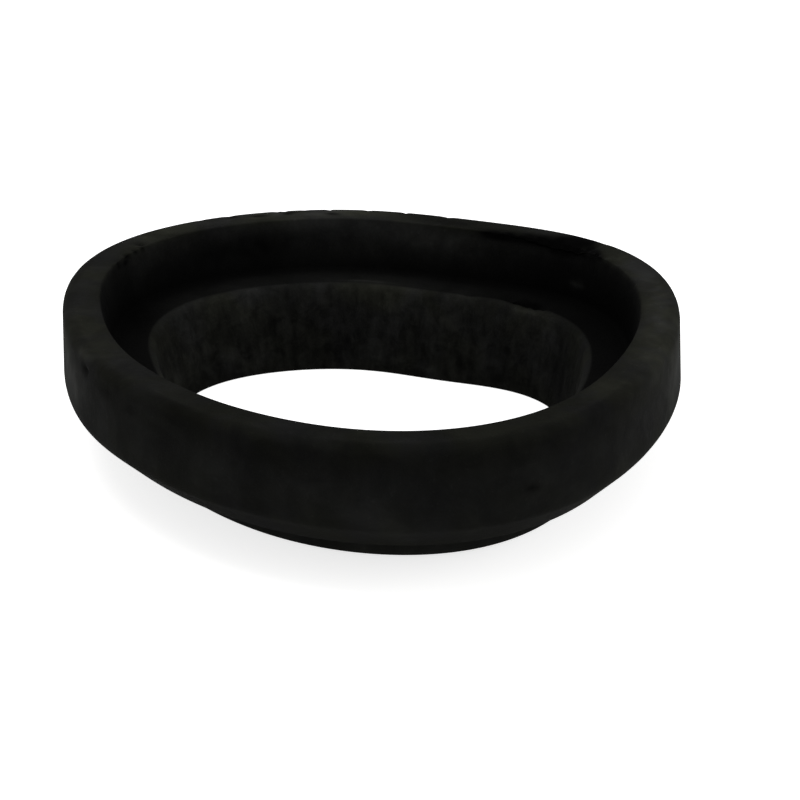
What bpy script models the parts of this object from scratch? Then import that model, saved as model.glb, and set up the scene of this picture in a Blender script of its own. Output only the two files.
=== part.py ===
"""Flush valve gasket: the moulded rubber ring that seals a cistern's flush valve to the pan below it.

One piece. Inside, the section has a deep counterbore that goes over the valve's lock nut, a flat
ledge and a bore that narrows towards its end. Outside it has an upright wall below the rim, a
taper, a flat shoulder and a spigot with a chamfered end that enters the pan's inlet. The ring has
been squeezed in its packing and kept the set, so its plan is a rounded triangle, a little oval.
It stands on its spigot, open side up, with Z up, and its origin at the middle of its foot.
"""

import math

import bpy
import numpy as np

# Driving dimensions, in metres
OUTER_DIAMETER = 0.1140
RIM_WALL = 0.0070
COUNTERBORE_DEPTH = 0.0103
COUNTERBORE_DRAFT = 0.0019
LEDGE_WIDTH = 0.0078
BORE_NARROWING = 0.0036
SPIGOT_END_WIDTH = 0.0034
SPIGOT_CHAMFER_WIDTH = 0.0051
SPIGOT_CHAMFER_HEIGHT = 0.0024
SPIGOT_LENGTH = 0.0075
SHOULDER_WIDTH = 0.0065
TAPER_HEIGHT = 0.0058
WALL_HEIGHT = 0.0142
WALL_SPREAD = 0.0007

# Radii of the section's edges
RIM_OUTER_ROUND = 0.0019
RIM_INNER_ROUND = 0.0004
COUNTERBORE_CORNER_ROUND = 0.0010
LEDGE_LIP_ROUND = 0.0020
WALL_FOOT_ROUND = 0.0030
TAPER_FOOT_ROUND = 0.0012
SHOULDER_CORNER_ROUND = 0.0006
SPIGOT_EDGE_ROUND = 0.0006
BORE_END_ROUND = 0.0004

# The set in the plan: how far each order of lobes swings the wall out and in, and where it crests.
# Bearings turn from +X towards +Y.
OVAL_SWING = 0.00311
OVAL_BEARING = math.radians(-51.1)
THREE_LOBE_SWING = 0.00240
THREE_LOBE_BEARING = math.radians(27.2)
FOUR_LOBE_SWING = 0.00092
FOUR_LOBE_BEARING = math.radians(29.5)
FIVE_LOBE_SWING = 0.00026
FIVE_LOBE_BEARING = math.radians(9.9)
SIX_LOBE_SWING = 0.00026
SIX_LOBE_BEARING = math.radians(29.6)
SEVEN_LOBE_SWING = 0.00019
SEVEN_LOBE_BEARING = math.radians(-12.6)

# Fineness of the mesh
RING_STEPS = 120
ARC_FLAT = 0.0007
SMOOTH_ANGLE = math.radians(40.0)
MERGE_DISTANCE = 0.00001

# Black moulded rubber, linear colour
RUBBER_COLOUR = (0.012, 0.012, 0.011, 1.0)
RUBBER_ROUGHNESS = 0.55
RUBBER_SPECULAR = 0.3

OBJECT_NAME = "flush_valve_gasket"


def clear_scene():
    for item in list(bpy.data.objects):
        bpy.data.objects.remove(item, do_unlink=True)


def section_corners():
    """Corners of the wall's section as (radius, height, edge round), down the outside and up the inside."""
    spigot_top = SPIGOT_LENGTH
    wall_foot = spigot_top + TAPER_HEIGHT
    rim = wall_foot + WALL_HEIGHT
    ledge = rim - COUNTERBORE_DEPTH

    rim_radius = OUTER_DIAMETER / 2
    counterbore_radius = rim_radius - RIM_WALL
    counterbore_foot_radius = counterbore_radius - COUNTERBORE_DRAFT
    bore_radius = counterbore_foot_radius - LEDGE_WIDTH
    bore_end_radius = bore_radius - BORE_NARROWING
    spigot_end_radius = bore_end_radius + SPIGOT_END_WIDTH
    spigot_radius = spigot_end_radius + SPIGOT_CHAMFER_WIDTH
    taper_foot_radius = spigot_radius + SHOULDER_WIDTH

    return [
        (rim_radius, rim, RIM_OUTER_ROUND),
        (rim_radius + WALL_SPREAD, wall_foot, WALL_FOOT_ROUND),
        (taper_foot_radius, spigot_top, TAPER_FOOT_ROUND),
        (spigot_radius, spigot_top, SHOULDER_CORNER_ROUND),
        (spigot_radius, SPIGOT_CHAMFER_HEIGHT, SPIGOT_EDGE_ROUND),
        (spigot_end_radius, 0.0, SPIGOT_EDGE_ROUND),
        (bore_end_radius, 0.0, BORE_END_ROUND),
        (bore_radius, ledge, LEDGE_LIP_ROUND),
        (counterbore_foot_radius, ledge, COUNTERBORE_CORNER_ROUND),
        (counterbore_radius, rim, RIM_INNER_ROUND),
    ]


def rounded_corner(before, corner, after, round_radius):
    """Points of the arc that touches both sides of a corner, from the side before it to the side after."""
    into = (before - corner) / np.linalg.norm(before - corner)
    out = (after - corner) / np.linalg.norm(after - corner)
    opening = math.acos(float(np.dot(into, out)))
    reach = round_radius / math.tan(opening / 2)
    bisector = (into + out) / np.linalg.norm(into + out)
    centre = corner + bisector * round_radius / math.sin(opening / 2)

    start = corner + into * reach - centre
    end = corner + out * reach - centre
    sweep = math.pi - opening
    turn = np.sign(start[0] * end[1] - start[1] * end[0])
    flats = 1 + math.ceil(sweep * round_radius / ARC_FLAT)
    angles = turn * np.linspace(0.0, sweep, flats + 1)
    along = start[0] * np.cos(angles) - start[1] * np.sin(angles)
    up = start[0] * np.sin(angles) + start[1] * np.cos(angles)
    return centre + np.column_stack([along, up])


def section_points():
    """The whole closed section, as rows of (radius, height)."""
    corners = section_corners()
    places = np.array([(radius, height) for radius, height, _ in corners])
    arcs = []
    for index, (_, _, round_radius) in enumerate(corners):
        before = places[index - 1]
        after = places[(index + 1) % len(corners)]
        arcs.append(rounded_corner(before, places[index], after, round_radius))
    return np.vstack(arcs)


def turned_ring(collection):
    """The round ring as it leaves the mould: the section carried once about Z by a Screw modifier."""
    points = section_points()
    count = len(points)
    vertices = [(radius, 0.0, height) for radius, height in points]
    edges = [(index, (index + 1) % count) for index in range(count)]
    mesh = bpy.data.meshes.new("section")
    mesh.from_pydata(vertices, edges, [])
    ring = bpy.data.objects.new("turned_ring", mesh)
    collection.objects.link(ring)

    screw = ring.modifiers.new("turn", "SCREW")
    screw.axis = "Z"
    screw.steps = RING_STEPS
    screw.render_steps = RING_STEPS
    screw.use_merge_vertices = True
    screw.merge_threshold = MERGE_DISTANCE
    return ring


def plan_swing(bearing):
    """How far the wall stands outside its round place at each bearing: a cosine for each order of lobes."""
    lobes = (
        (2, OVAL_SWING, OVAL_BEARING),
        (3, THREE_LOBE_SWING, THREE_LOBE_BEARING),
        (4, FOUR_LOBE_SWING, FOUR_LOBE_BEARING),
        (5, FIVE_LOBE_SWING, FIVE_LOBE_BEARING),
        (6, SIX_LOBE_SWING, SIX_LOBE_BEARING),
        (7, SEVEN_LOBE_SWING, SEVEN_LOBE_BEARING),
    )
    return sum(swing * np.cos(order * (bearing - crest)) for order, swing, crest in lobes)


def take_set(mesh):
    """Shift the wall in and out level with the floor, keeping its section, then centre the plan on Z."""
    places = np.empty(len(mesh.vertices) * 3)
    mesh.vertices.foreach_get("co", places)
    places = places.reshape(-1, 3)

    bearing = np.arctan2(places[:, 1], places[:, 0])
    swing = plan_swing(bearing)
    places[:, 0] += swing * np.cos(bearing)
    places[:, 1] += swing * np.sin(bearing)
    places[:, :2] -= (places[:, :2].min(axis=0) + places[:, :2].max(axis=0)) / 2

    mesh.vertices.foreach_set("co", places.ravel())
    mesh.update()


def rubber_material():
    material = bpy.data.materials.new("black_rubber")
    material.use_nodes = True
    shader = material.node_tree.nodes["Principled BSDF"]
    shader.inputs["Base Color"].default_value = RUBBER_COLOUR
    shader.inputs["Roughness"].default_value = RUBBER_ROUGHNESS
    shader.inputs["Metallic"].default_value = 0.0
    shader.inputs["Specular IOR Level"].default_value = RUBBER_SPECULAR
    material.diffuse_color = RUBBER_COLOUR
    return material


def gasket(collection):
    """The finished gasket: the turned ring made a mesh, given its set and shaded smooth between edges."""
    ring = turned_ring(collection)
    depsgraph = bpy.context.evaluated_depsgraph_get()
    mesh = bpy.data.meshes.new_from_object(ring.evaluated_get(depsgraph))
    bpy.data.objects.remove(ring, do_unlink=True)

    take_set(mesh)
    mesh.name = OBJECT_NAME
    mesh.materials.append(rubber_material())
    mesh.shade_smooth()
    mesh.set_sharp_from_angle(angle=SMOOTH_ANGLE)
    finished = bpy.data.objects.new(OBJECT_NAME, mesh)
    collection.objects.link(finished)
    return finished


def main():
    clear_scene()
    collection = bpy.data.collections.new("Flush valve gasket")
    bpy.context.scene.collection.children.link(collection)
    gasket(collection)


main()
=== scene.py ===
"""Flush valve gasket: the worn black rubber ring and its plain studio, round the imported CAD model.

Laid out as an add-on and run as a script. The ring is one surface worked out with numpy: the
moulded section carried round its lobed plan, with the chips, tears and pits of a used gasket.
"""

import math

import bpy
import numpy as np
from bpy.props import FloatProperty, FloatVectorProperty, IntProperty, PointerProperty
from mathutils import Matrix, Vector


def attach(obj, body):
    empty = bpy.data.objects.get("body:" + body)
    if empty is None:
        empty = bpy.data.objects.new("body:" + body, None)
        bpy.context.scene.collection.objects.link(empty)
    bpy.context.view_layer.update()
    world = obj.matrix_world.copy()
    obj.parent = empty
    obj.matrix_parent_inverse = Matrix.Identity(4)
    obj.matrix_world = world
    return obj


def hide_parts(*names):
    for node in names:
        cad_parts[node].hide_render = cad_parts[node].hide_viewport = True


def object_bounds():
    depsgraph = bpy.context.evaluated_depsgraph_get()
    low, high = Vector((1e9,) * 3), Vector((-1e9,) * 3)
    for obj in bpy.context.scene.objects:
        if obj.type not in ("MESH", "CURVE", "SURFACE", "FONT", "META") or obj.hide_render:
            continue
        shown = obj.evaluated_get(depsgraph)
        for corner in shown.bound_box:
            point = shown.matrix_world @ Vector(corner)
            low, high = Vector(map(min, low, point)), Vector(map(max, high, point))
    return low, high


bl_info = {
    "name": "Flush valve gasket",
    "version": (1, 0, 0),
    "blender": (4, 5, 0),
    "location": "View3D > Sidebar > Gasket",
    "description": "Makes a worn rubber flush valve gasket on a pale floor",
    "category": "Mesh",
}

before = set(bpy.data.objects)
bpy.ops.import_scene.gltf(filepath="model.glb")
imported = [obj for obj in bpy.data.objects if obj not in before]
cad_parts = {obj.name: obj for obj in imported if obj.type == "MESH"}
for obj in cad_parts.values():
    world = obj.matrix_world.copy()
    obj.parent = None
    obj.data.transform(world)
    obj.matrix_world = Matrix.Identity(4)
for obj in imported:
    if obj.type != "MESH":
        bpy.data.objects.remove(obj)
CAD_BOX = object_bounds()
SOLID_RING = "flush_valve_gasket"
SOLID_RING_STEPS = 120
MILLIMETRE = 0.001
WHITE = (1.0, 1.0, 1.0, 1.0)
PICTURE_WIDTH = 800
SENSOR_WIDTH = 36.0


def length(name, description, default):
    return FloatProperty(
        name=name, description=description, default=default * MILLIMETRE, min=0.0, precision=5,
        subtype="DISTANCE", unit="LENGTH",
    )


def turn(name, description, default):
    return FloatProperty(
        name=name, description=description, default=math.radians(default), subtype="ANGLE", unit="ROTATION"
    )


def share(name, description, default):
    return FloatProperty(name=name, description=description, default=default, min=0.0, soft_max=1.0, precision=4)


def tint(name, description, default):
    return FloatVectorProperty(
        name=name, description=description, default=default, subtype="COLOR", size=3, min=0.0, max=1.0
    )


class GasketSizes(bpy.types.PropertyGroup):
    """The moulded section and the set that its plan has taken."""

    outer_diameter: length("Outer diameter", "Across the rim of the round ring", 114.0)
    rim_wall: length("Rim wall", "Thickness of the wall at the rim", 7.0)
    counterbore_depth: length("Counterbore depth", "From the rim down to the ledge", 10.3)
    counterbore_draft: length("Counterbore draft", "How far the counterbore narrows on its way down", 1.9)
    ledge_width: length("Ledge width", "From the counterbore's foot to the bore", 7.8)
    bore_narrowing: length("Bore narrowing", "How far the bore narrows on its way down", 3.6)
    spigot_end_width: length("Spigot end width", "Flat that the ring stands on", 3.4)
    chamfer_width: length("Chamfer width", "Spigot's chamfer, level", 5.1)
    chamfer_height: length("Chamfer height", "Spigot's chamfer, upright", 2.4)
    spigot_length: length("Spigot length", "From the foot up to the shoulder", 7.5)
    shoulder_width: length("Shoulder width", "Flat underside outside the spigot", 6.5)
    taper_height: length("Taper height", "From the shoulder up to the foot of the wall", 5.8)
    wall_height: length("Wall height", "From the foot of the wall up to the rim", 14.2)
    wall_spread: length("Wall spread", "How far the wall's foot stands outside the rim", 0.7)

    rim_outer_round: length("Rim outer round", "Radius of the rim's outer edge", 1.9)
    rim_inner_round: length("Rim inner round", "Radius of the rim's inner edge", 0.4)
    counterbore_corner_round: length("Counterbore corner round", "Radius at the counterbore's foot", 1.0)
    ledge_lip_round: length("Ledge lip round", "Radius of the lip between ledge and bore", 2.0)
    wall_foot_round: length("Wall foot round", "Radius at the foot of the wall", 3.0)
    taper_foot_round: length("Taper foot round", "Radius at the foot of the taper", 1.2)
    shoulder_corner_round: length("Shoulder corner round", "Radius where the spigot leaves the shoulder", 0.6)
    spigot_edge_round: length("Spigot edge round", "Radius of the chamfer's edges", 0.6)
    bore_end_round: length("Bore end round", "Radius of the bore's lower edge", 0.4)

    oval_swing: length("Oval swing", "How far the oval swings the wall out and in", 3.11)
    oval_bearing: turn("Oval bearing", "Where the oval is longest, from +X towards +Y", -51.1)
    three_lobe_swing: length("Three-lobe swing", "How far the three lobes swing the wall", 2.40)
    three_lobe_bearing: turn("Three-lobe bearing", "Where one of the three lobes crests", 27.2)
    four_lobe_swing: length("Four-lobe swing", "How far the four lobes swing the wall", 0.92)
    four_lobe_bearing: turn("Four-lobe bearing", "Where one of the four lobes crests", 29.5)
    five_lobe_swing: length("Five-lobe swing", "How far the five lobes swing the wall", 0.26)
    five_lobe_bearing: turn("Five-lobe bearing", "Where one of the five lobes crests", 9.9)
    six_lobe_swing: length("Six-lobe swing", "How far the six lobes swing the wall", 0.26)
    six_lobe_bearing: turn("Six-lobe bearing", "Where one of the six lobes crests", 29.6)
    seven_lobe_swing: length("Seven-lobe swing", "How far the seven lobes swing the wall", 0.19)
    seven_lobe_bearing: turn("Seven-lobe bearing", "Where one of the seven lobes crests", -12.6)

    ring_steps: IntProperty(name="Ring steps", description="Rows of the mesh round the ring", default=640, min=24)
    section_spacing: length("Section spacing", "Longest side of a face along the section", 0.85)
    arc_flats: IntProperty(name="Arc flats", description="Faces round each edge of the section", default=6, min=1)


class GasketWear(bpy.types.PropertyGroup):
    """How far use has marked the ring."""

    unevenness: length("Unevenness", "How far the faces wander from the mould's", 0.09)
    chip_depth: length("Chip depth", "Depth of the deepest chips along the rim", 1.2)
    tear_depth: length("Tear depth", "Depth of the tear in the ledge's lip", 1.5)
    pit_depth: length("Pit depth", "Depth of the deepest pits in the bore", 0.28)


class RubberLook(bpy.types.PropertyGroup):
    """Colours and gloss of the rubber."""

    rubber: tint("Rubber", "Clean black rubber", (0.0004, 0.0004, 0.0004))
    bloom: tint("Bloom", "Grey bloom on the rubber", (0.0174, 0.0177, 0.0171))
    dirt: tint("Dirt", "Dried dirt in olive patches", (0.0178, 0.0184, 0.0136))
    specular: share("Specular level", "Strength of the gloss", 0.012)
    smooth_roughness: share("Smooth roughness", "Roughness of the clean rubber", 0.80)
    bloom_roughness: share("Bloom roughness", "Roughness under the bloom", 0.85)


class StudioLook(bpy.types.PropertyGroup):
    """Camera, lamps and floor."""

    lens: FloatProperty(name="Lens", description="Focal length on a 36 mm sensor", default=102.1, unit="CAMERA")
    camera_place: FloatVectorProperty(
        name="Camera place", description="Where the camera stands", default=(0.00004, -0.37940, 0.17784),
        subtype="TRANSLATION", unit="LENGTH", size=3,
    )
    aim_x: FloatProperty(name="Aim across", description="Where the rim's middle shows, in pixels", default=369.06)
    aim_y: FloatProperty(name="Aim down", description="Where the rim's middle shows, in pixels", default=307.92)
    camera_roll: turn("Camera roll", "How far the camera leans", 0.98)
    ambient: share("Ambient", "Light from all round", 0.55)
    key_power: FloatProperty(name="Key power", description="Overhead soft lamp", default=1.9, unit="POWER")
    side_power: FloatProperty(name="Side power", description="Soft lamp on the right", default=0.9, unit="POWER")
    floor: tint("Floor", "Colour of the floor", (0.82, 0.82, 0.81))
    floor_glow: share("Floor glow", "White that the camera sees on the floor", 0.75)


# Rows of section_corners() for the inside of the ring
BORE_END, LIP, COUNTERBORE_FOOT, RIM_INNER = 6, 7, 8, 9


def section_corners(sizes):
    """Corners of the wall's section as rows of (radius, height, edge round).

    They run down the outside and up the inside. Each radius is the one inside it plus a width, and
    each height the one below it plus a height, as in the solid's own source.
    """
    wall_foot = sizes.spigot_length + sizes.taper_height
    rim = wall_foot + sizes.wall_height
    ledge = rim - sizes.counterbore_depth

    rim_radius = sizes.outer_diameter / 2
    counterbore_radius = rim_radius - sizes.rim_wall
    counterbore_foot_radius = counterbore_radius - sizes.counterbore_draft
    bore_radius = counterbore_foot_radius - sizes.ledge_width
    bore_end_radius = bore_radius - sizes.bore_narrowing
    spigot_end_radius = bore_end_radius + sizes.spigot_end_width
    spigot_radius = spigot_end_radius + sizes.chamfer_width
    taper_foot_radius = spigot_radius + sizes.shoulder_width

    return np.array([
        (rim_radius, rim, sizes.rim_outer_round),
        (rim_radius + sizes.wall_spread, wall_foot, sizes.wall_foot_round),
        (taper_foot_radius, sizes.spigot_length, sizes.taper_foot_round),
        (spigot_radius, sizes.spigot_length, sizes.shoulder_corner_round),
        (spigot_radius, sizes.chamfer_height, sizes.spigot_edge_round),
        (spigot_end_radius, 0.0, sizes.spigot_edge_round),
        (bore_end_radius, 0.0, sizes.bore_end_round),
        (bore_radius, ledge, sizes.ledge_lip_round),
        (counterbore_foot_radius, ledge, sizes.counterbore_corner_round),
        (counterbore_radius, rim, sizes.rim_inner_round),
    ])


def corner_arc(before, corner, after, radius, flats):
    """Points of the arc that touches both sides of a corner.

    The centre lies on the corner's bisector at radius over the sine of half the opening, and the
    arc sweeps a half turn less the opening, from the side before the corner to the side after it.
    """
    into = (before - corner) / np.linalg.norm(before - corner)
    out = (after - corner) / np.linalg.norm(after - corner)
    opening = math.acos(float(into @ out))
    reach = radius / math.tan(opening / 2)
    bisector = (into + out) / np.linalg.norm(into + out)
    centre = corner + bisector * radius / math.sin(opening / 2)
    start = corner + into * reach - centre
    end = corner + out * reach - centre
    way = np.sign(start[0] * end[1] - start[1] * end[0])
    angles = way * np.linspace(0.0, math.pi - opening, flats + 1)
    return centre + np.column_stack([
        start[0] * np.cos(angles) - start[1] * np.sin(angles),
        start[0] * np.sin(angles) + start[1] * np.cos(angles),
    ])


def section_line(sizes):
    """The closed section as rows of (radius, height), with its outward normals.

    Each corner is an arc, and the straight side to the next arc is cut into equal steps no longer
    than the spacing. A normal is the line's direction from the neighbour before to the one after,
    turned a quarter turn away from the rubber.
    """
    corners = section_corners(sizes)
    places, rounds = corners[:, :2], corners[:, 2]
    before, after = np.roll(places, 1, axis=0), np.roll(places, -1, axis=0)
    arcs = [corner_arc(*corner, sizes.arc_flats) for corner in zip(before, places, after, rounds)]
    runs = []
    for index, arc in enumerate(arcs):
        start, end = arc[-1], arcs[(index + 1) % len(arcs)][0]
        steps = max(1, math.ceil(np.linalg.norm(end - start) / sizes.section_spacing))
        between = np.linspace(0.0, 1.0, steps + 1)[1:-1, None]
        runs += [arc, start + (end - start) * between]
    line = np.vstack(runs)
    along = np.roll(line, -1, axis=0) - np.roll(line, 1, axis=0)
    along /= np.linalg.norm(along, axis=1)[:, None]
    return line, np.column_stack([-along[:, 1], along[:, 0]])


def plan_swing(sizes, bearing):
    """How far the set stands the wall outside its round place: a cosine for each order of lobes."""
    return (
        sizes.oval_swing * np.cos(2 * (bearing - sizes.oval_bearing))
        + sizes.three_lobe_swing * np.cos(3 * (bearing - sizes.three_lobe_bearing))
        + sizes.four_lobe_swing * np.cos(4 * (bearing - sizes.four_lobe_bearing))
        + sizes.five_lobe_swing * np.cos(5 * (bearing - sizes.five_lobe_bearing))
        + sizes.six_lobe_swing * np.cos(6 * (bearing - sizes.six_lobe_bearing))
        + sizes.seven_lobe_swing * np.cos(7 * (bearing - sizes.seven_lobe_bearing))
    )


def plan_centre(sizes):
    """The middle of the lobed plan's box, which is where the solid has its origin."""
    bearing = np.linspace(0.0, 2 * math.pi, SOLID_RING_STEPS, endpoint=False)
    widest = section_corners(sizes)[:, 0].max() + plan_swing(sizes, bearing)
    x, y = widest * np.cos(bearing), widest * np.sin(bearing)
    return (x.min() + x.max()) / 2, (y.min() + y.max()) / 2


def way_along(line):
    """Length along the section from its first point to each point."""
    return np.concatenate([[0.0], np.cumsum(np.linalg.norm(np.diff(line, axis=0), axis=1))])


def marks(bearing, line, spots):
    """Sum of soft round spots on the surface, from 0 to their own strength.

    Each spot is (bearing in degrees, radius and height of its middle, half-length round the ring,
    half-width along the section, strength), in millimetres. It fades as the bell curve of the
    distance over those two half-sizes.
    """
    total = np.zeros((len(bearing), len(line)))
    for spot_bearing, radius, height, half_round, half_section, strength in spots:
        turned = (bearing - math.radians(spot_bearing) + math.pi) % (2 * math.pi) - math.pi
        round_ring = turned * radius / half_round
        across = np.hypot(line[:, 0] / MILLIMETRE - radius, line[:, 1] / MILLIMETRE - height) / half_section
        total += strength * np.exp(-(round_ring[:, None] ** 2) - across[None, :] ** 2)
    return total


def waves(bearing, line, seed, count, finest, closeness=1.0):
    """Smooth wandering over the surface, about -1 to 1: a sum of sines round the ring and along the section.

    The finest is one more than the most waves that go round the ring. The sines along the section
    grow finer with it, from 20 to 220 radians a metre where it is 40, and the closeness packs them
    more tightly still.
    """
    chance = np.random.default_rng(seed)
    around = chance.integers(1, finest, count)
    along = chance.uniform(20.0, 220.0, count) * closeness * finest / 40
    phase = chance.uniform(0.0, 2 * math.pi, (2, count))
    way = way_along(line)
    total = np.zeros((len(bearing), len(line)))
    for index in range(count):
        round_ring = np.sin(around[index] * bearing + phase[0, index])
        up_section = np.sin(along[index] * way + phase[1, index])
        total += round_ring[:, None] * up_section[None, :]
    return total / math.sqrt(count)


# Marks of wear, and spots of painted light and shade, in rows as marks() reads them
RIM_CHIPS = (
    # The broken inner edge at the back right, deepest at its sharp end
    (35.4, 52.6, 27.5, 1.1, 2.2, 0.75), (37.8, 51.9, 27.4, 1.8, 2.4, 0.80), (41.2, 51.3, 27.4, 2.2, 2.2, 0.65),
    (45.0, 50.9, 27.4, 2.6, 1.7, 0.50), (50.0, 50.6, 27.4, 3.0, 1.3, 0.35), (33.4, 50.7, 27.4, 0.9, 1.2, 0.65),
    (37.0, 50.0, 27.1, 2.0, 1.6, 0.80), (41.5, 50.0, 27.1, 2.4, 1.6, 0.85), (46.5, 50.0, 27.2, 2.8, 1.4, 0.65),
    (52.0, 50.0, 27.2, 3.0, 1.1, 0.40), (58.0, 50.0, 27.2, 3.0, 0.9, 0.25),
    # The ragged edge beside it
    (31.3, 50.3, 27.4, 0.9, 0.9, 0.60), (28.9, 50.4, 27.4, 0.9, 0.8, 0.36), (25.2, 50.1, 27.4, 0.6, 0.7, 0.40),
    (23.7, 50.4, 27.5, 0.5, 0.6, 0.22), (19.3, 50.1, 27.4, 0.8, 0.6, 0.28), (12.0, 50.1, 27.3, 0.7, 0.6, 0.20),
    # The nicked outer edge at the back
    (124.0, 56.3, 27.0, 0.5, 0.7, 0.20), (118.2, 55.9, 27.2, 0.8, 0.6, 0.14), (108.6, 56.2, 27.1, 0.5, 0.8, 0.26),
    (107.1, 55.8, 27.3, 0.4, 0.6, 0.22), (103.0, 56.3, 27.0, 0.6, 0.8, 0.16), (98.0, 56.0, 27.2, 0.4, 0.7, 0.24),
    (89.8, 56.2, 27.1, 0.7, 0.8, 0.18), (81.6, 56.0, 27.2, 0.4, 0.8, 0.24), (72.0, 55.8, 27.3, 1.0, 0.8, 0.14),
    # The pocked inner edge at the back left
    (146.9, 50.2, 27.3, 0.9, 0.8, 0.45), (144.1, 50.3, 27.3, 0.7, 0.7, 0.40), (140.8, 51.2, 27.5, 0.7, 0.7, 0.40),
    (140.9, 52.3, 27.5, 1.1, 0.5, 0.35), (151.0, 50.4, 27.4, 0.9, 0.7, 0.32), (134.0, 50.4, 27.4, 0.7, 0.6, 0.30),
)
WALL_NICKS = (
    (-157.6, 57.1, 24.9, 1.5, 1.0, 0.60), (-65.5, 57.4, 18.2, 1.0, 0.6, 0.30), (-147.4, 57.1, 24.4, 2.6, 1.0, 0.17),
    (-138.9, 57.2, 23.8, 2.2, 0.8, 0.17), (-38.9, 57.3, 20.8, 1.0, 0.7, 0.20), (-24.2, 57.6, 14.8, 1.2, 0.9, 0.20),
)
LIP_TEARS = (
    (48.5, 43.3, 17.2, 1.6, 1.3, 0.90), (44.6, 42.2, 17.2, 1.6, 1.2, 0.80), (40.2, 41.6, 17.1, 1.5, 1.2, 0.80),
    (36.8, 41.4, 17.0, 0.9, 0.9, 0.50), (59.0, 41.2, 16.9, 1.4, 0.9, 0.25), (128.0, 40.6, 16.5, 1.3, 0.9, 0.22),
)
LIP_RIDGES = ((91.0, 41.9, 17.2, 4.6, 0.35, 1.0), (88.5, 42.8, 17.2, 3.6, 0.30, 0.8))
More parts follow.
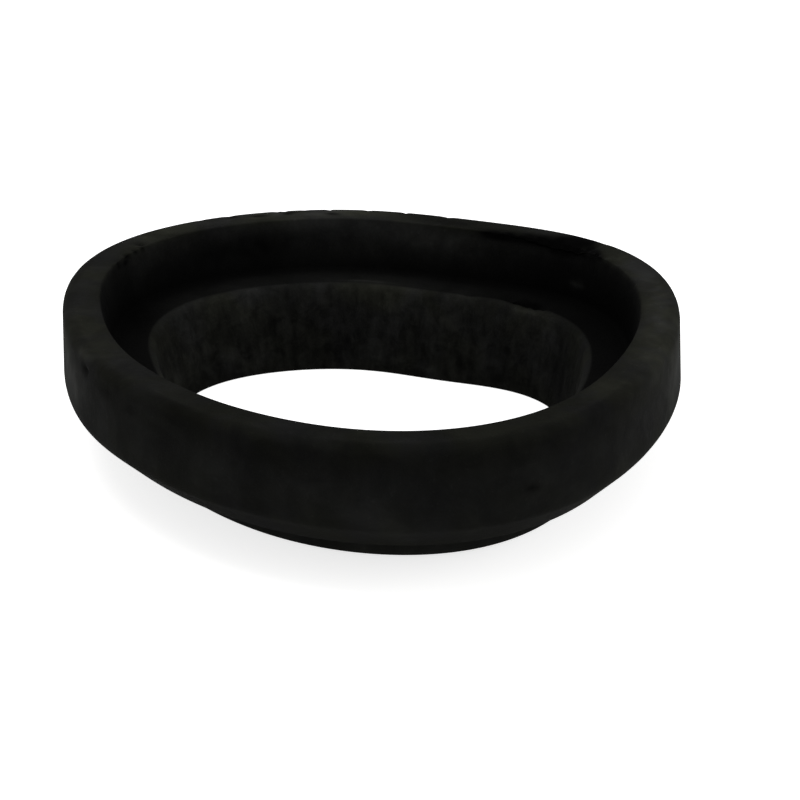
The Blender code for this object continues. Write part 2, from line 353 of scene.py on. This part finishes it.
BLOOM_AND_PAINTED_LIGHT_SPOTS = (
    # Light marks in the counterbore, on the lip and at the foot of the bore
    (35.6, 48.7, 20.4, 1.0, 0.6, 0.55), (33.8, 48.7, 20.8, 1.0, 0.5, 0.40), (73.0, 49.6, 24.6, 7.0, 2.2, 0.35),
    (91.0, 42.0, 17.2, 4.6, 0.5, 0.5), (80.0, 37.3, 3.0, 2.4, 0.9, 0.5), (86.7, 37.3, 2.8, 1.6, 0.7, 0.4),
    (71.0, 37.1, 2.0, 1.6, 0.7, 0.4),
    # Broad pale stretches of the rim and the bore, and a dim one of the ledge
    (4.0, 53.5, 27.5, 27.0, 3.6, 0.74), (172.0, 53.5, 27.5, 26.0, 3.6, 0.14), (128.0, 53.5, 27.5, 22.0, 3.6, 0.52),
    (99.0, 53.6, 27.5, 17.0, 3.0, 1.00), (96.0, 56.0, 27.2, 24.0, 1.2, 0.55), (141.0, 38.6, 9.0, 9.0, 6.0, 0.30),
    (58.0, 38.0, 8.0, 8.0, 5.0, 0.08), (152.0, 44.0, 17.2, 8.0, 4.0, -0.12),
    # Pale patches on the wall at both sides, partly dusty scuffs and partly a painted highlight for the sheen at the
    # wall's edges, and the dark spots beside them
    (-167.0, 57.3, 19.6, 5.6, 3.4, 1.30), (-174.0, 57.3, 20.8, 5.0, 4.4, 1.10), (-160.5, 56.4, 26.8, 3.6, 1.0, 1.00),
    (-19.0, 57.3, 21.0, 6.4, 5.0, 1.10), (-11.0, 57.2, 22.6, 5.0, 4.0, 1.20), (-25.0, 57.4, 17.6, 1.8, 1.6, -0.40),
    (-31.0, 56.6, 26.6, 10.0, 2.2, 0.30), (-26.0, 57.3, 20.5, 17.0, 9.0, 0.55), (-162.0, 57.3, 20.5, 20.0, 9.0, 0.48),
    (-125.0, 57.3, 20.0, 14.0, 8.0, 0.08),
    (-157.4, 57.0, 24.9, 2.0, 1.1, -1.00), (-149.0, 57.1, 24.0, 2.8, 1.4, -0.25),
    (-139.0, 57.2, 23.6, 3.0, 1.2, -0.25), (-65.5, 57.4, 18.2, 1.2, 0.7, -0.40),
    # Painted shade on the taper at both sides, which shows darker there than in front
    (-150.0, 54.7, 10.4, 26.0, 4.0, -0.26), (-22.0, 54.7, 10.4, 22.0, 4.0, -0.18),
    (-117.0, 55.0, 10.6, 16.0, 3.6, -0.40), (-61.0, 55.4, 11.0, 10.0, 3.0, -0.22),
    # Clean rubber where the rim is broken, with painted shade on its inward slope, and the dim stretch of rim beside it
    (38.2, 54.8, 27.5, 1.3, 1.4, -0.9), (35.4, 52.6, 27.5, 1.3, 1.4, -1.1), (33.4, 51.4, 27.5, 1.4, 1.2, -1.1),
    (31.6, 50.6, 27.5, 1.2, 1.0, -1.2), (29.8, 50.2, 27.4, 1.0, 0.6, -0.9),
    (40.0, 53.8, 27.5, 2.2, 3.0, -1.0), (42.6, 52.2, 27.5, 2.6, 2.4, -0.8), (48.0, 51.2, 27.5, 4.0, 1.8, -0.7),
    (57.0, 50.8, 27.5, 5.0, 1.6, -0.5), (72.0, 52.4, 27.5, 8.0, 2.8, -0.55), (37.5, 49.9, 26.9, 2.4, 0.9, -0.9),
    (42.5, 49.9, 26.9, 3.0, 0.9, -0.9), (49.0, 49.9, 26.9, 4.0, 0.9, -0.8), (57.0, 49.9, 26.9, 5.0, 0.8, -0.6),
    # Dark pocks at the back left
    (140.9, 52.3, 27.5, 1.1, 0.4, -1.0), (140.8, 51.2, 27.5, 0.5, 0.6, -0.9), (142.0, 50.2, 27.2, 0.5, 0.6, -0.8),
    (144.1, 50.2, 27.3, 0.6, 0.6, -0.8), (146.9, 50.1, 27.3, 0.8, 0.7, -0.9), (148.2, 49.8, 26.4, 0.7, 0.6, -0.5),
    (151.0, 50.0, 26.8, 0.8, 0.6, -0.6),
    # Dark dashes along the back of the rim
    (112.9, 53.6, 27.5, 1.5, 0.6, -1.7), (107.0, 53.6, 27.5, 1.0, 0.6, -1.7), (106.0, 54.4, 27.5, 1.6, 0.6, -1.5),
    (97.7, 52.8, 27.5, 1.2, 0.6, -1.7), (102.4, 55.2, 27.5, 0.8, 0.6, -1.6), (90.0, 55.7, 27.4, 3.6, 0.6, -1.7),
    (81.7, 55.2, 27.5, 2.2, 0.6, -1.6), (76.5, 55.2, 27.5, 1.6, 0.6, -1.2), (118.0, 54.4, 27.5, 1.0, 0.6, -1.3),
    # The dark tear in the lip and the light streak below it
    (43.4, 41.9, 17.2, 2.4, 0.9, -1.4), (40.8, 40.1, 16.0, 3.0, 0.5, 0.6),
    # The painted light at the back of the counterbore, lessened at the back left and straight behind, and raised at the
    # right of it
    (119.0, 49.4, 24.2, 8.5, 4.0, -0.42), (102.0, 49.5, 24.8, 8.0, 3.0, -0.34), (82.0, 49.6, 25.2, 8.0, 2.6, 0.16),
    (66.0, 49.5, 24.4, 6.0, 3.0, 0.14),
)


# Place along the section (corner's number and the share of the way to the next), share of bloom all
# round (painted light or shade where marked), share of painted light added at the back, share of
# upright streaks and share of olive dirt
BLOOM_AND_PAINTED_LIGHT_STOPS = (
    (0.0, 0.46, 0.0, 0.1, 0.8), (0.12, 0.38, 0.0, 0.1, 0.5), (0.5, 0.57, 0.0, 0.1, 0.1), (1.0, 0.76, 0.0, 0.1, 0.5),
    # The high shares on the spigot (3.0 to 5.0) are painted light, lifting it out of the shade under the taper
    (2.0, 0.40, 0.0, 0.1, 0.9), (3.0, 0.75, 0.0, 0.1, 0.3), (4.0, 1.20, 0.0, 0.1, 0.3), (5.0, 0.95, 0.0, 0.1, 0.3),
    (6.0, 0.46, 0.06, 1.0, 0.5), (6.6, 0.49, 0.06, 1.0, 0.5), (6.95, 0.80, 0.20, 0.6, 0.8),
    (7.05, 0.70, 0.25, 0.3, 0.7), (7.12, 0.05, 0.38, 0.1, 0.2), (7.6, 0.04, 0.28, 0.1, 0.1),
    # The dip in the shares at the counterbore's foot (8.0) is painted shade in that corner
    (8.0, 0.01, 0.10, 0.2, 0.1), (8.5, 0.02, 0.48, 0.3, 0.1), (8.9, 0.02, 0.90, 0.3, 0.2),
    (9.0, 0.45, 0.40, 0.1, 0.8), (9.2, 0.57, 0.0, 0.1, 0.9),
)
# Bearing of the back, where painted light is added to the inner walls, which face the front
PAINTED_LIGHT_BEARING = math.radians(98.0)


def bore_pits(sizes, count=150):
    """Pits scattered over the bore, and each fifth one over the counterbore instead, as spots for marks()."""
    chance = np.random.default_rng(11)
    radii, heights, _ = (section_corners(sizes) / MILLIMETRE).T
    height = chance.uniform(0.06, 0.9, count) * heights[LIP]
    slope = (radii[LIP] - radii[BORE_END]) / heights[LIP]
    radius = radii[BORE_END] + slope * height

    on_counterbore = np.arange(count) % 5 == 0
    above_ledge = chance.uniform(0.2, 0.95, count) * sizes.counterbore_depth / MILLIMETRE
    height = np.where(on_counterbore, heights[COUNTERBORE_FOOT] + above_ledge, height)
    radius = np.where(on_counterbore, (radii[COUNTERBORE_FOOT] + radii[RIM_INNER]) / 2, radius)
    return np.column_stack([
        chance.uniform(-180.0, 180.0, count), radius, height,
        chance.uniform(0.35, 0.9, count), chance.uniform(0.35, 1.1, count), chance.uniform(0.25, 1.0, count) ** 2,
    ])


def worn_ring(sizes, wear):
    """Vertices of the worn ring as an array of (ring steps, section points, 3), its section line and bearings.

    The section is first moved along its own normals: in by the unevenness, chips, nicks, tears and
    pits, out by the ridges on the lip, which stand up by twice the unevenness. Chips, nicks and
    tears are ragged, about 0.6 to 1.2 times as deep as their rows say. The section is then carried
    round Z, moved out and in level with the floor by the set, and the plan's box is centred on Z.
    The flat that the ring stands on stays as moulded.
    """
    line, normals = section_line(sizes)
    bearing = np.linspace(-math.pi, math.pi, sizes.ring_steps, endpoint=False)
    ragged = 0.9 + 0.3 * waves(bearing, line, seed=5, count=24, finest=150)
    uneven = 0.5 + 0.25 * waves(bearing, line, seed=3, count=14, finest=12)
    moved = -wear.unevenness * uneven
    moved -= wear.chip_depth * ragged * marks(bearing, line, RIM_CHIPS + WALL_NICKS)
    moved -= wear.tear_depth * ragged * marks(bearing, line, LIP_TEARS)
    moved -= wear.pit_depth * marks(bearing, line, bore_pits(sizes))
    moved = np.clip(moved, -wear.tear_depth, 0.0)
    moved += 2 * wear.unevenness * marks(bearing, line, LIP_RIDGES)
    moved[:, line[:, 1] < sizes.spigot_edge_round / 2] = 0.0

    radius = line[:, 0] + normals[:, 0] * moved
    height = line[:, 1] + normals[:, 1] * moved
    middle_x, middle_y = plan_centre(sizes)
    swung = radius + plan_swing(sizes, bearing)[:, None]
    return np.stack([
        swung * np.cos(bearing)[:, None] - middle_x,
        swung * np.sin(bearing)[:, None] - middle_y,
        height,
    ], axis=-1), line, bearing


def bloom_and_painted_light_share(sizes, line, bearing):
    """How much bloom lies on each vertex, with painted light and shade, from 0 with 1 as a full coat,
    and how streaky and how olive it is.

    Each stretch of the section has its own shares, read off between the stops. Inside, from the lip
    to the rim, painted light is added mostly at the back, on the walls that face the front: the share
    fades there as the fifth power of half of one plus the cosine of the turn from the back. Slow waves
    make it patchy. The spots add to it, broken up by finer waves; some of them paint light and shade,
    as their headings say.
    """
    way = way_along(line)
    nearest = [int(np.argmin(np.hypot(*(line - corner).T))) for corner in section_corners(sizes)[:, :2]]
    at_corner = np.append(way[nearest], way[-1])
    places, all_round, at_back, streaky, olive = np.array(BLOOM_AND_PAINTED_LIGHT_STOPS).T
    stops = np.interp(places, np.arange(len(at_corner)), at_corner)

    backness = ((1 + np.cos(bearing - PAINTED_LIGHT_BEARING)) / 2) ** 5
    share_here = np.interp(way, stops, all_round)[None, :] + np.interp(way, stops, at_back)[None, :] * backness[:, None]
    patchy = 1 + 0.16 * waves(bearing, line, seed=21, count=18, finest=26)
    spot_breakup = 1 + 0.2 * waves(bearing, line, seed=31, count=24, finest=110, closeness=3.5)
    bloom = np.maximum(share_here * patchy + spot_breakup * marks(bearing, line, BLOOM_AND_PAINTED_LIGHT_SPOTS), 0.0)
    return [bloom] + [np.broadcast_to(np.interp(way, stops, shares), bloom.shape) for shares in (streaky, olive)]


def grid_faces(rows, columns):
    """Quads of a grid that closes on itself both ways, facing away from the rubber."""
    row, column = np.meshgrid(np.arange(rows), np.arange(columns), indexing="ij")
    this_row, next_row = row * columns, (row + 1) % rows * columns
    next_column = (column + 1) % columns
    corners = [this_row + column, this_row + next_column, next_row + next_column, next_row + column]
    return np.stack(corners, axis=-1).reshape(-1, 4)


def mesh_from_arrays(name, vertices, faces):
    """A mesh from an (n, 3) array of places and an (m, 4) array of quads, shaded smooth."""
    mesh = bpy.data.meshes.new(name)
    mesh.vertices.add(len(vertices))
    mesh.vertices.foreach_set("co", vertices.astype(np.float32).ravel())
    mesh.loops.add(faces.size)
    mesh.loops.foreach_set("vertex_index", faces.astype(np.int32).ravel())
    mesh.polygons.add(len(faces))
    mesh.polygons.foreach_set("loop_start", np.arange(0, faces.size, 4, dtype=np.int32))
    mesh.update(calc_edges=True)
    mesh.validate()
    mesh.shade_smooth()
    return mesh


def add_node(tree, kind, values=None, **settings):
    """A new node, with the values of its sockets by name and the node's own settings."""
    made = tree.nodes.new(kind)
    for key, setting in settings.items():
        setattr(made, key, setting)
    for socket, value in (values or {}).items():
        made.inputs[socket].default_value = value
    return made


def noise(tree, coordinates, scale, detail, roughness=0.55, distortion=0.0):
    values = {"Scale": scale, "Detail": detail, "Roughness": roughness, "Distortion": distortion}
    texture = add_node(tree, "ShaderNodeTexNoise", values)
    tree.links.new(coordinates, texture.inputs["Vector"])
    return texture.outputs["Fac"]


def stretched(tree, coordinates, scale):
    mapping = add_node(tree, "ShaderNodeMapping", {"Scale": scale})
    tree.links.new(coordinates, mapping.inputs["Vector"])
    return mapping.outputs["Vector"]


def ramp(tree, value, low, high, to_low=0.0, to_high=1.0):
    """A value carried smoothly from the range low-high to the range to_low-to_high."""
    values = {"From Min": low, "From Max": high, "To Min": to_low, "To Max": to_high}
    spread = add_node(tree, "ShaderNodeMapRange", values, interpolation_type="SMOOTHSTEP")
    tree.links.new(value, spread.inputs["Value"])
    return spread.outputs["Result"]


def combined(tree, operation, first, second):
    """Two values, each a number or a socket, put together by a Math node."""
    math_node = add_node(tree, "ShaderNodeMath", operation=operation)
    for socket, value in zip(math_node.inputs, (first, second)):
        if isinstance(value, (int, float)):
            socket.default_value = value
        else:
            tree.links.new(value, socket)
    return math_node.outputs["Value"]


def mixed(tree, share_here, first, second):
    """The first colour carried towards the second by a share that may pass 1."""
    blend = add_node(tree, "ShaderNodeMix", data_type="RGBA", clamp_factor=False)
    sockets = [socket for socket in blend.inputs if socket.type == "RGBA"]
    for socket, colour in zip(sockets, (first, second)):
        if isinstance(colour, bpy.types.NodeSocket):
            tree.links.new(colour, socket)
        else:
            socket.default_value = (*colour, 1.0)
    tree.links.new(share_here, blend.inputs["Factor"])
    return [socket for socket in blend.outputs if socket.type == "RGBA"][0]


def bumped(tree, height, distance, strength, before):
    """The normal of a surface raised by a height, on top of the relief before it, if there is one."""
    bump = add_node(tree, "ShaderNodeBump", {"Distance": distance, "Strength": strength})
    tree.links.new(height, bump.inputs["Height"])
    if before is not None:
        tree.links.new(before, bump.inputs["Normal"])
    return bump.outputs["Normal"]


# Cells a metre in each noise on the rubber, and how far the streaks' noise is squeezed along each axis
DIRT_CELLS = 75.0
PATCH_CELLS = 110.0
MOTTLE_CELLS = 330.0
STREAK_CELLS = 620.0
SPECK_CELLS = 1400.0
GRAIN_CELLS = 3200.0
STREAK_SQUEEZE = (1.0, 1.0, 0.22)


def worn_rubber(look):
    """Black moulded rubber with grey bloom and olive dirt: patches, upright streaks, specks and a fine grain."""
    material = bpy.data.materials.new("worn_black_rubber")
    material.use_nodes = True
    tree = material.node_tree
    shader = tree.nodes["Principled BSDF"]
    shader.inputs["Metallic"].default_value = 0.0
    shader.inputs["Specular IOR Level"].default_value = look.specular
    place = add_node(tree, "ShaderNodeTexCoord").outputs["Object"]
    # The bloom attribute holds painted light and painted shade as well as the bloom's share
    share_here = add_node(tree, "ShaderNodeAttribute", attribute_name="bloom").outputs["Fac"]
    streaky = add_node(tree, "ShaderNodeAttribute", attribute_name="streaky").outputs["Fac"]
    olive = add_node(tree, "ShaderNodeAttribute", attribute_name="olive").outputs["Fac"]

    dirt = noise(tree, place, DIRT_CELLS, detail=4.0, roughness=0.6, distortion=0.4)
    patches = noise(tree, place, PATCH_CELLS, detail=5.0, roughness=0.6, distortion=0.6)
    mottle = noise(tree, place, MOTTLE_CELLS, detail=5.0, roughness=0.65, distortion=1.0)
    streaks = noise(tree, stretched(tree, place, STREAK_SQUEEZE), STREAK_CELLS, detail=4.0, roughness=0.6)
    specks = noise(tree, place, SPECK_CELLS, detail=2.0)
    grain = noise(tree, place, GRAIN_CELLS, detail=2.0)

    streaked = ramp(tree, streaks, 0.28, 0.75, -0.34, 0.30)
    mottled = ramp(tree, mottle, 0.34, 0.68, -0.30, 0.28)
    marked = combined(tree, "MULTIPLY", combined(tree, "ADD", streaked, mottled), streaky)
    marked = combined(tree, "ADD", marked, 1.0)
    cloud = combined(tree, "MULTIPLY", ramp(tree, patches, 0.32, 0.72, 0.6, 1.0), marked)
    spotted = combined(tree, "ADD", cloud, ramp(tree, specks, 0.60, 0.78, 0.0, 0.25))
    bloom = combined(tree, "MULTIPLY", share_here, spotted)

    coat = mixed(tree, combined(tree, "MULTIPLY", olive, ramp(tree, dirt, 0.36, 0.60)), look.bloom, look.dirt)
    tree.links.new(mixed(tree, bloom, look.rubber, coat), shader.inputs["Base Color"])
    tree.links.new(ramp(tree, bloom, 0.0, 0.8, look.smooth_roughness, look.bloom_roughness), shader.inputs["Roughness"])

    relief = ((patches, 0.40, 0.35), (streaks, 0.12, 0.5), (specks, 0.08, 0.6), (grain, 0.03, 0.5))
    surface = None
    for height, depth, strength in relief:
        surface = bumped(tree, height, depth * MILLIMETRE, strength, surface)
    tree.links.new(surface, shader.inputs["Normal"])
    material.diffuse_color = (*look.rubber, 1.0)
    return material


class GASKET_OT_mould_ring(bpy.types.Operator):
    """Make the worn rubber ring and put it in place of the plain solid"""

    bl_idname = "gasket.mould_ring"
    bl_label = "Mould ring"

    def execute(self, context):
        sizes, wear = context.scene.gasket_sizes, context.scene.gasket_wear
        places, line, bearing = worn_ring(sizes, wear)
        rows, columns = places.shape[:2]
        mesh = mesh_from_arrays("worn_ring", places.reshape(-1, 3), grid_faces(rows, columns))
        for key, shares in zip(("bloom", "streaky", "olive"), bloom_and_painted_light_share(sizes, line, bearing)):
            mesh.attributes.new(key, "FLOAT", "POINT").data.foreach_set("value", shares.astype(np.float32).ravel())
        mesh.materials.append(worn_rubber(context.scene.rubber_look))

        ring = bpy.data.objects.new("worn_ring", mesh)
        context.scene.collection.objects.link(ring)
        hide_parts(SOLID_RING)
        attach(ring, "root")
        return {"FINISHED"}


def seen_rays(tree):
    """1 for the rays that show the background: those from the camera, and gloss and clear pieces."""
    rays = add_node(tree, "ShaderNodeLightPath").outputs
    seen = combined(tree, "MAXIMUM", rays["Is Camera Ray"], rays["Is Glossy Ray"])
    return combined(tree, "MAXIMUM", seen, rays["Is Transmission Ray"])


def white_world(ambient):
    """A world that shows white and lights the object more softly."""
    world = bpy.data.worlds.new("studio")
    world.use_nodes = True
    tree = world.node_tree
    tree.nodes.clear()
    light = add_node(tree, "ShaderNodeBackground", {"Color": WHITE, "Strength": ambient})
    shown = add_node(tree, "ShaderNodeBackground", {"Color": WHITE, "Strength": 1.0})
    chosen = add_node(tree, "ShaderNodeMixShader")
    tree.links.new(seen_rays(tree), chosen.inputs["Fac"])
    tree.links.new(light.outputs["Background"], chosen.inputs[1])
    tree.links.new(shown.outputs["Background"], chosen.inputs[2])
    tree.links.new(chosen.outputs["Shader"], add_node(tree, "ShaderNodeOutputWorld").inputs["Surface"])
    return world


def pale_floor(studio):
    """Matt floor with a faint white glow for the rays that show it, so that it stays white round a soft shadow."""
    material = bpy.data.materials.new("pale_floor")
    material.use_nodes = True
    tree = material.node_tree
    tree.nodes.clear()
    matt = add_node(tree, "ShaderNodeBsdfDiffuse", {"Color": (*studio.floor, 1.0)})
    glow = add_node(tree, "ShaderNodeEmission", {"Color": WHITE})
    tree.links.new(combined(tree, "MULTIPLY", seen_rays(tree), studio.floor_glow), glow.inputs["Strength"])
    both = add_node(tree, "ShaderNodeAddShader")
    tree.links.new(matt.outputs["BSDF"], both.inputs[0])
    tree.links.new(glow.outputs["Emission"], both.inputs[1])
    tree.links.new(both.outputs["Shader"], add_node(tree, "ShaderNodeOutputMaterial").inputs["Surface"])
    return material


def soft_lamp(name, place, aim, size, power):
    """A round area lamp at its place, turned to shine at the aim."""
    data = bpy.data.lights.new(name, "AREA")
    data.shape = "DISK"
    data.size = size
    data.energy = power
    lamp = bpy.data.objects.new(name, data)
    lamp.location = place
    way = np.subtract(aim, place)
    lamp.rotation_euler = (math.atan2(math.hypot(way[0], way[1]), -way[2]), 0.0, math.atan2(way[0], -way[1]) + math.pi)
    bpy.context.scene.collection.objects.link(lamp)


def stage_camera(studio, rim_height):
    """The camera at the photo's place. It is turned so that the rim's middle shows at the aimed pixel.

    The ray to that pixel, turned back by the roll, gives how far the camera pans and tips away from
    looking straight at the rim's middle.
    """
    focal = studio.lens / SENSOR_WIDTH * PICTURE_WIDTH
    middle_x, middle_y = plan_centre(bpy.context.scene.gasket_sizes)
    place = np.array(studio.camera_place)
    forward = np.array([-middle_x, -middle_y, rim_height]) - place
    forward /= np.linalg.norm(forward)
    right = np.array([1.0, 0.0, 0.0])
    straight = np.array([right, np.cross(right, forward), forward])

    ray = np.array([(studio.aim_x - PICTURE_WIDTH / 2) / focal, (PICTURE_WIDTH / 2 - studio.aim_y) / focal, 1.0])
    ray /= np.linalg.norm(ray)
    cosine, sine = math.cos(studio.camera_roll), math.sin(studio.camera_roll)
    unrolled = np.array([cosine * ray[0] + sine * ray[1], -sine * ray[0] + cosine * ray[1], ray[2]])
    pan, tip = math.atan2(unrolled[0], unrolled[2]), math.asin(unrolled[1])
    panned = np.array([[math.cos(pan), 0, math.sin(pan)], [0, 1, 0], [-math.sin(pan), 0, math.cos(pan)]])
    tipped = np.array([[1, 0, 0], [0, math.cos(tip), math.sin(tip)], [0, -math.sin(tip), math.cos(tip)]])
    rolled = np.array([[cosine, -sine, 0], [sine, cosine, 0], [0, 0, 1]])
    across, up, ahead = rolled @ tipped @ panned @ straight

    data = bpy.data.cameras.new("camera")
    data.lens = studio.lens
    data.sensor_width = SENSOR_WIDTH
    data.clip_start, data.clip_end = 0.01, 20.0
    camera = bpy.data.objects.new("camera", data)
    camera.matrix_world = Matrix(np.column_stack([across, up, -ahead, place])).to_4x4()
    bpy.context.scene.collection.objects.link(camera)
    bpy.context.scene.camera = camera


class GASKET_OT_set_stage(bpy.types.Operator):
    """Set the floor, the soft lamps and the camera"""

    bl_idname = "gasket.set_stage"
    bl_label = "Set stage"

    def execute(self, context):
        studio = context.scene.studio_look
        context.scene.view_settings.view_transform = "Standard"
        context.scene.world = white_world(studio.ambient)

        half = 4.0
        corners = np.array([(-half, -half, 0.0), (half, -half, 0.0), (half, half, 0.0), (-half, half, 0.0)])
        floor = bpy.data.objects.new("floor", mesh_from_arrays("floor", corners, np.array([[0, 1, 2, 3]])))
        floor.data.materials.append(pale_floor(studio))
        context.scene.collection.objects.link(floor)

        soft_lamp("key", place=(-0.10, 0.05, 0.70), aim=(0.0, 0.0, 0.0), size=0.60, power=studio.key_power)
        soft_lamp("side", place=(0.62, -0.20, 0.30), aim=(0.0, 0.0, 0.015), size=0.45, power=studio.side_power)
        stage_camera(studio, CAD_BOX[1][2])
        return {"FINISHED"}


class GASKET_PT_panel(bpy.types.Panel):
    """Gasket tools"""

    bl_idname = "GASKET_PT_panel"
    bl_label = "Flush valve gasket"
    bl_space_type = "VIEW_3D"
    bl_region_type = "UI"
    bl_category = "Gasket"

    def draw(self, context):
        for operator in OPERATORS:
            self.layout.operator(operator.bl_idname)
        for group in GROUPS:
            box = self.layout.box()
            for key in GROUPS[group].__annotations__:
                box.prop(getattr(context.scene, group), key)


GROUPS = {
    "gasket_sizes": GasketSizes,
    "gasket_wear": GasketWear,
    "rubber_look": RubberLook,
    "studio_look": StudioLook,
}
OPERATORS = (GASKET_OT_mould_ring, GASKET_OT_set_stage)


def register():
    for made in (*GROUPS.values(), *OPERATORS, GASKET_PT_panel):
        bpy.utils.register_class(made)
    for key, group in GROUPS.items():
        setattr(bpy.types.Scene, key, PointerProperty(type=group))


def unregister():
    for key in GROUPS:
        delattr(bpy.types.Scene, key)
    for made in (GASKET_PT_panel, *OPERATORS, *GROUPS.values()):
        bpy.utils.unregister_class(made)


def main():
    register()
    bpy.ops.gasket.mould_ring()
    bpy.ops.gasket.set_stage()


if __name__ == "__main__":
    main()
